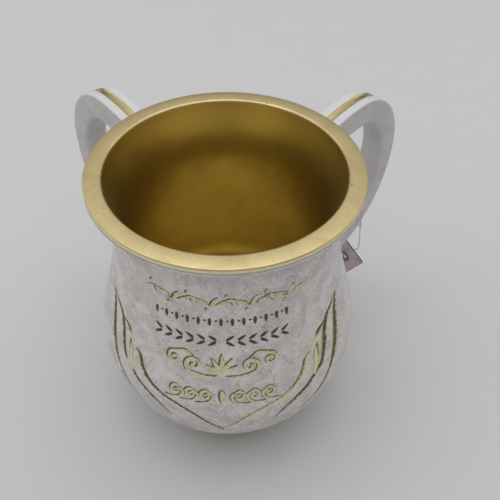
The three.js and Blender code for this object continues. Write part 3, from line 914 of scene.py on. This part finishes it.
def liner_inside():
    """Wetted face of the liner, from the middle of the floor to the mouth."""
    mouth = RIM_RADIUS - RIM_FLANGE
    throat = NECK_RADIUS - NECK_WALL - SEAT_GAP - LINER_SHEET
    bowl = throat - LINER_TAPER
    flat = bowl - LINER_CORNER
    bend = CUP_HEIGHT - LINER_THROAT
    shares = {"quarter_round": 0.55, "wall_round": 0.78, "taper": 0.85, "mouth_in": 0.3, "mouth_down": 0.42}
    return joined(
        [(0, LINER_FLOOR)],
        cubic(
            (flat, LINER_FLOOR),
            (flat + LINER_CORNER * shares["quarter_round"], LINER_FLOOR),
            (bowl, LINER_FLOOR + LINER_CORNER * (1 - shares["wall_round"])),
            (bowl, LINER_FLOOR + LINER_CORNER),
        ),
        cubic(
            (bowl + LINER_TAPER * shares["taper"], bend - THROAT_EASE),
            (throat, bend),
            (mouth - (mouth - throat) * shares["mouth_in"], CUP_HEIGHT - LINER_THROAT * shares["mouth_down"]),
            (mouth - LINER_SHEET / 2, CUP_HEIGHT - LINER_SHEET),
        ),
    )


def liner():
    """The spun liner, with a flange that falls slightly outwards and is rolled at both edges."""
    inside = liner_inside()
    mouth = RIM_RADIUS - RIM_FLANGE
    edge = LINER_SHEET / 2
    under = CUP_HEIGHT - LINER_SHEET
    brow = CUP_HEIGHT - FLANGE_FALL
    flange = joined(
        cubic((mouth - edge, under), (mouth - edge * 0.6, CUP_HEIGHT - edge * 0.4), (mouth, CUP_HEIGHT),
              (mouth + edge * 2, CUP_HEIGHT), 10),
        cubic((mouth + edge * 4, CUP_HEIGHT), (mouth + RIM_FLANGE * 0.6, CUP_HEIGHT),
              (RIM_RADIUS - edge * 3, brow + edge / 4), (RIM_RADIUS - edge, brow), 16),
        cubic((RIM_RADIUS - edge, brow), (RIM_RADIUS, brow - edge / 4), (RIM_RADIUS, brow - edge / 2),
              (RIM_RADIUS, brow - edge), 8),
        [(RIM_RADIUS - edge / 3, under), (mouth + LINER_SHEET, under)],
    )
    outside = inside + sideways(inside) * LINER_SHEET
    outside[0, 0] = 0
    outside = outside[outside[:, 1] < under - LINER_SHEET]
    profile = joined(evenly(inside, 1.2), flange, evenly(outside[::-1], 3))
    points, faces, _ = revolved(profile, circle(256))
    height, bend = points[:, 2], CUP_HEIGHT - LINER_THROAT
    layers = {
        "flange": smoothstep(under - 0.1, under + edge, height),
        "throat": smoothstep(bend - THROAT_EASE, bend + THROAT_EASE / 2, height),
    }
    made("liner", points, faces, spun_gold(), "cup", "cup_liner", layers)


# Handles


def handle_line():
    """Middle line of a handle in its own plane, as (distance from the axis, height)."""
    half = HANDLE_THICKNESS / 2
    crest = np.array([HANDLE_CREST[0], HANDLE_CREST[1] - half])
    far = np.array([HANDLE_REACH - half, HANDLE_REACH_HEIGHT])
    top = np.array([NECK_RADIUS - NECK_WALL, HANDLE_ROOTS[0]])
    low = np.array([BELLY_RADIUS - NECK_WALL, HANDLE_ROOTS[1]])
    run, end = crest[0] - top[0], far[0] - crest[0]
    s = {"top_out": 0.3, "top_up": 0.75, "crest_in": 0.38, "crest_out": 0.53, "fall": 0.55, "low_out": 0.68}
    return joined(
        cubic(top, (top[0] + run * s["top_out"], top[1] + (crest[1] - top[1]) * s["top_up"]),
              (crest[0] - run * s["crest_in"], crest[1]), crest),
        cubic(crest, (crest[0] + end * s["crest_out"], crest[1]),
              (far[0], far[1] + (crest[1] - far[1]) * s["fall"]), far),
        cubic(far, (far[0], (far[1] + low[1]) / 2),
              (low[0] + (far[0] - low[0]) * s["low_out"], low[1]), low),
    )


def handle_section():
    """Section of the band as (across, away from the fingers) points, how gilt each is, and how white, free of
    painted shade.
    """
    wide, thick, channel = HANDLE_WIDTH / 2, HANDLE_THICKNESS / 2, CHANNEL_WIDTH / 2
    outer, inner = HANDLE_OUTER_EDGE, HANDLE_INNER_EDGE
    flat = np.linspace(-1, 1, 25) * (wide - outer)
    dip = CHANNEL_DEPTH * (1 - smoothstep(channel * CHANNEL_FLOOR_SHARE, channel, abs(flat)))
    quarter = np.linspace(0, math.pi / 2, 6)
    outer_edge = (wide - outer, thick - outer) + outer * np.column_stack([np.sin(quarter), np.cos(quarter)])
    inner_edge = (wide - inner, inner - thick) + inner * np.column_stack([np.cos(quarter), -np.sin(quarter)])
    right = np.vstack([outer_edge, inner_edge])
    left = (right * (-1, 1))[::-1]
    section = np.vstack([np.column_stack([flat, thick - dip]), right[1:], left[:-1]])
    gilt_share = np.zeros(len(section))
    start, end = CHANNEL_GILT_SHARES
    gilt_share[:len(flat)] = 1 - smoothstep(channel * start, channel * end, abs(flat))
    start, end = WHITE_FACE_SHARES
    face = section[:, 1] + gilt_share * CHANNEL_DEPTH
    unshaded_face_share = smoothstep(thick - outer * start, thick - outer * end, face)
    return section, gilt_share, unshaded_face_share


def handle(node, hand):
    """A handle on the +X side for hand 1, or on the -X side for hand -1.

    Each lengthwise line of its band ends on the body."""
    line = handle_line()
    out = -sideways(line)
    section, gilt_share, unshaded_face_share = handle_section()
    away = np.array([hand * math.cos(HANDLE_TURN), math.sin(HANDLE_TURN), 0])
    across = np.array([-math.sin(HANDLE_TURN), hand * math.cos(HANDLE_TURN), 0])
    rise = np.maximum(0, line[:, 1] - HANDLE_REACH_HEIGHT) / (line[:, 1].max() - HANDLE_REACH_HEIGHT)
    lines = []
    for x, y in section:
        inward = max(0, -y) / (HANDLE_THICKNESS / 2)
        flat = line + out * (y - CREST_SWELL * rise * inward)[:, None]
        run = flat[:, :1] * away + x * across + flat[:, 1:] * (0, 0, 1)
        clear = np.flatnonzero(np.hypot(run[:, 0], run[:, 1]) > radius_at(run[:, 2]) - HANDLE_SEAT)
        run = run[clear[0]:clear[-1] + 1]
        lines.append(resampled(run, np.linspace(0, along(run)[-1], 150)))
    rings = np.stack(lines, axis=1)
    count, last = len(section), rings[:-1].size // 3
    faces = [*ring_faces(rings, False), range(count)[::-1], range(last, last + count)]
    layers = {"gilt": np.tile(gilt_share, len(rings)), "white": np.tile(unshaded_face_share, len(rings))}
    made(node + "_band", rings.reshape(-1, 3), faces, handle_white(), "cup", node, layers)


# Foot and pad


def foot():
    """The gilt foot: a band, a waist, and a register that goes up into the body."""
    bottom, top = FOOT_LOW[2], FOOT_HIGH[2] - FOOT_REGISTER
    inner = FOOT_RADIUS - FOOT_WIDTH
    register = inner + FOOT_REGISTER_WIDTH
    waist, collar = FOOT_RADIUS - FOOT_WAIST, FOOT_RADIUS - FOOT_COLLAR
    low, high = FOOT_WAIST_ENDS
    profile = np.vstack([
        [(inner, bottom)],
        cubic((FOOT_RADIUS - FOOT_EDGE, bottom), (FOOT_RADIUS, bottom), (FOOT_RADIUS, bottom),
              (FOOT_RADIUS, bottom + FOOT_EDGE), 6),
        cubic((FOOT_RADIUS, bottom + FOOT_BAND), (waist, bottom + low), (waist, top - high),
              (collar, top - FOOT_COLLAR), 12),
        [(collar - FOOT_COLLAR_BEVEL, top), (register, top), (register, FOOT_HIGH[2]), (inner, FOOT_HIGH[2]),
         (inner, bottom)],
    ])
    points, faces, _ = revolved(profile, circle(160))
    made("foot", points, faces, gilt(), "cup", "foot_ring")


def pad():
    """The felt disc under the foot, with soft edges."""
    radius, _, top = PAD_HIGH
    inset = radius - PAD_EDGE
    profile = joined(
        [(r, 0) for r in np.linspace(0, inset, 24)],
        cubic((inset, 0), (radius, 0), (radius, 0), (radius, PAD_EDGE), 5),
        cubic((radius, top - PAD_EDGE), (radius, top), (radius, top), (inset, top), 5),
        [(0, top)],
    )
    points, faces, _ = revolved(profile, circle(120))
    made("pad", points, faces, felt(), "cup", "base_pad")


# Tag, in its own frame: X towards the back, Y towards the cup and Z up, from the eye


def from_tag(points):
    """Points in the tag's own frame as points of the cup."""
    turn = HANDLE_TURN + math.pi / 2
    back = np.array([math.cos(turn), math.sin(turn), 0])
    inward = np.array([-math.sin(turn), math.cos(turn), 0])
    points = np.array(points, float)
    return EYE + points[:, :1] * back + points[:, 1:2] * inward + points[:, 2:] * (0, 0, 1)


def rounded(corners, radius):
    """A closed outline with its corners rounded."""
    corners = np.array(corners, float)
    t = np.linspace(0, 1, 5)[:, None]
    points = []
    for before, corner, after in zip(np.roll(corners, 1, 0), corners, np.roll(corners, -1, 0)):
        towards = [(other - corner) / np.linalg.norm(other - corner) * radius for other in (before, after)]
        a, b = corner + towards
        points.append((1 - t) ** 2 * a + 2 * t * (1 - t) * corner + t**2 * b)
    return np.vstack(points)


def tag_card():
    """The card: rounded corners, a round hole, and a slight curl."""
    left, right = -TAG_WIDTH / 2, TAG_WIDTH / 2
    top, low = TAG_HOLE_FROM_TOP, TAG_HOLE_FROM_TOP - TAG_LENGTH
    outline = rounded([(right, low), (right, top), (left, top), (left, low)], TAG_CORNER)
    outline = np.vstack([outline, outline[:1]])
    places = np.linspace(0, 1, TAG_POINTS, endpoint=False)
    outline = resampled(outline, places * along(outline)[-1])
    angles = math.atan2(outline[0, 1], outline[0, 0]) + places * 2 * math.pi
    hole = TAG_HOLE_RADIUS * np.column_stack([np.cos(angles), np.sin(angles)])
    half = TAG_THICKNESS / 2
    sheets = [hole + (outline - hole) * share for share in (0, 0.15, 0.35, 0.6, 0.85)]
    inset = outline * (1 - TAG_EDGE / TAG_WIDTH)
    front = [(run, -half) for run in (*sheets, inset)] + [(outline, TAG_EDGE - half)]
    back = [(run, -y) for run, y in front[::-1]]
    rings = np.stack([np.insert(run, 1, y, axis=1) for run, y in front + back])
    rings[..., 1] += TAG_CURL * (rings[..., 2] / TAG_LENGTH) ** 2 * TAG_THICKNESS
    cosine, sine = math.cos(TAG_TILT), math.sin(TAG_TILT)
    x, z = rings[..., 0], rings[..., 2]
    rings[..., 0], rings[..., 2] = x * cosine + z * sine, z * cosine - x * sine
    edge = np.zeros(rings.shape[:2])
    edge[len(front) - 1:len(front) + 1] = 1
    made("tag", from_tag(rings.reshape(-1, 3)), ring_faces(rings, True), card(), "tag", "tag_card",
         {"edge": edge.ravel()})


def eyelet():
    """The rolled eyelet round the card's hole."""
    barrel = TAG_HOLE_RADIUS - SEAT_GAP / 2
    lip = TAG_HOLE_RADIUS + EYELET_LIP
    under = TAG_THICKNESS / 2 + SEAT_GAP / 2
    face = under + EYELET_SHEET
    bore = barrel - EYELET_SHEET
    upper = joined(
        cubic((bore, 0.0), (bore, face * 0.8), (bore + 0.1, face), (bore + EYELET_ROLL, face), 8),
        cubic((bore + EYELET_ROLL, face), (lip, face), (lip, face), (lip, under), 8),
        [(lip - EYELET_SHEET / 2, under), (barrel, under), (barrel, 0)],
    )
    profile = joined(upper, (upper * (1, -1))[::-1])
    points, faces, _ = revolved(profile, circle(48))
    made("eyelet", from_tag(points[:, (0, 2, 1)]), faces, steel(), "tag", "tag_eyelet")


# A direction that the loop never runs in
LOOP_NEVER_RUNS = (0.31, 0.87, 0.38)


def loop():
    """The moulded loop over the handle's lower arm and through the eyelet, with its bead."""
    room = THREAD_RADIUS + SEAT_GAP
    side = HANDLE_WIDTH / 2 + room
    over = extent("tag_loop")[1][2] - THREAD_RADIUS * 2 - EYE[2]
    eye = TAG_HOLE_RADIUS - SEAT_GAP - EYELET_SHEET - THREAD_RADIUS * 2
    past = TAG_THICKNESS / 2 + EYELET_SHEET + SEAT_GAP + room
    apart = TAG_HOLE_FROM_TOP
    bead = (THREAD_RADIUS - BEAD_RADIUS - side, 0, TAG_DROP + BEAD_RADIUS)
    route = [
        bead,
        (-side, 0, over - room),
        (room - side, 0, over + THREAD_RADIUS),
        (side - room, 0, over + THREAD_RADIUS),
        (side, 0, over - room),
        (side, 0, TAG_DROP),
        (side, past, apart),
        (side / 4, past, apart / 2),
        (0, past, eye + THREAD_RADIUS),
        (0, 0, eye),
        (0, -past, eye + THREAD_RADIUS),
        (-side / 4, -past, apart / 2),
        (-side, -past, apart),
        bead,
    ]
    run = through(route, 0.5)[:-1]
    direction = unit(np.roll(run, -1, 0) - np.roll(run, 1, 0))
    lift = unit(np.cross(direction, LOOP_NEVER_RUNS))
    wing = np.cross(direction, lift)
    angle = circle(10)[:, None]
    from_bead = np.linalg.norm(run - bead, axis=1)
    swell = THREAD_RADIUS + (BEAD_RADIUS - THREAD_RADIUS) * np.exp(-(from_bead / BEAD_LENGTH) ** 2)
    round_it = lift[:, None] * np.cos(angle) + wing[:, None] * np.sin(angle)
    rings = run[:, None] + swell[:, None, None] * round_it
    made("loop", from_tag(rings.reshape(-1, 3)), ring_faces(rings, True), nylon(), "tag", "tag_loop")


# Stage

CAMERA_PLACE = (14.19, -232.0, 305.69)
CAMERA_TURN = (46.3255, -0.2696, 1.4902)
CAMERA_LENS = 57.6
CAMERA_SENSOR = 36
NEAREST_SEEN = 10
FLOOR_SIZE = 60000

# Soft lamps: name, place, target, size and power
LAMPS = [
    ("back left", (-900, 500, 550), (0, 0, 40), (700, 500), 0.8),
    ("back right", (900, 500, 550), (0, 0, 40), (700, 500), 0.8),
    ("overhead", (-40, 200, 1150), (0, 0, 60), (700, 600), 1.0),
    ("left", (-900, -300, 900), (0, 0, 40), (800, 800), 1.0),
]

# Brightness of the studio's white ceiling by the sine of the height above the horizon
SKY = [(0, 0.05), (0.35, 0.2), (0.65, 0.46), (1, 1)]
SKY_STRENGTH = 1.34


def camera():
    """The camera, at the photograph's angle."""
    data = bpy.data.cameras.new("camera")
    data.lens = CAMERA_LENS
    data.sensor_width = CAMERA_SENSOR
    data.clip_start = NEAREST_SEEN * MM
    view = bpy.data.objects.new("camera", data)
    view.location = Vector(CAMERA_PLACE) * MM
    view.rotation_euler = [math.radians(angle) for angle in CAMERA_TURN]
    scene.collection.objects.link(view)
    scene.camera = view


def floor():
    """A wide, plain, pale floor."""
    mesh = bpy.data.meshes.new("floor")
    half = FLOOR_SIZE * MM / 2
    corners = [(-half, -half, 0), (half, -half, 0), (half, half, 0), (-half, half, 0)]
    mesh.from_pydata(corners, [], [(0, 1, 2, 3)])
    mesh.materials.append(paper_floor())
    sheet = bpy.data.objects.new("floor", mesh)
    scene.collection.objects.link(sheet)


def soft_light(name, place, target, size, power):
    """A white lamp with a flat, wide face that looks at its target."""
    data = bpy.data.lights.new(name, "AREA")
    data.shape = "RECTANGLE"
    data.size, data.size_y = (length * MM for length in size)
    data.energy = power
    lamp = bpy.data.objects.new(name, data)
    lamp.location = Vector(place) * MM
    lamp.rotation_euler = (Vector(target) - Vector(place)).to_track_quat("-Z", "Y").to_euler()
    scene.collection.objects.link(lamp)


def surroundings():
    """Pale light from all round, strongest from above."""
    world = bpy.data.worlds.new("studio")
    world.use_nodes = True
    tree = world.node_tree
    background = tree.nodes["Background"]
    direction = tree.nodes.new("ShaderNodeTexCoord").outputs["Generated"]
    split = tree.nodes.new("ShaderNodeSeparateXYZ")
    tree.links.new(direction, split.inputs[0])
    ramp = tree.nodes.new("ShaderNodeValToRGB")
    tree.links.new(split.outputs["Z"], ramp.inputs["Fac"])
    put_stops(ramp, [(place, (level, level, level, 1)) for place, level in SKY])
    tree.links.new(ramp.outputs["Color"], background.inputs["Color"])
    background.inputs["Strength"].default_value = SKY_STRENGTH
    scene.world = world
    scene.view_settings.view_transform = "Standard"


camera()
floor()
surroundings()
for lamp in LAMPS:
    soft_light(*lamp)

body()
liner()
foot()
pad()
handle("right_handle", 1)
handle("left_handle", -1)
tag_card()
eyelet()
loop()
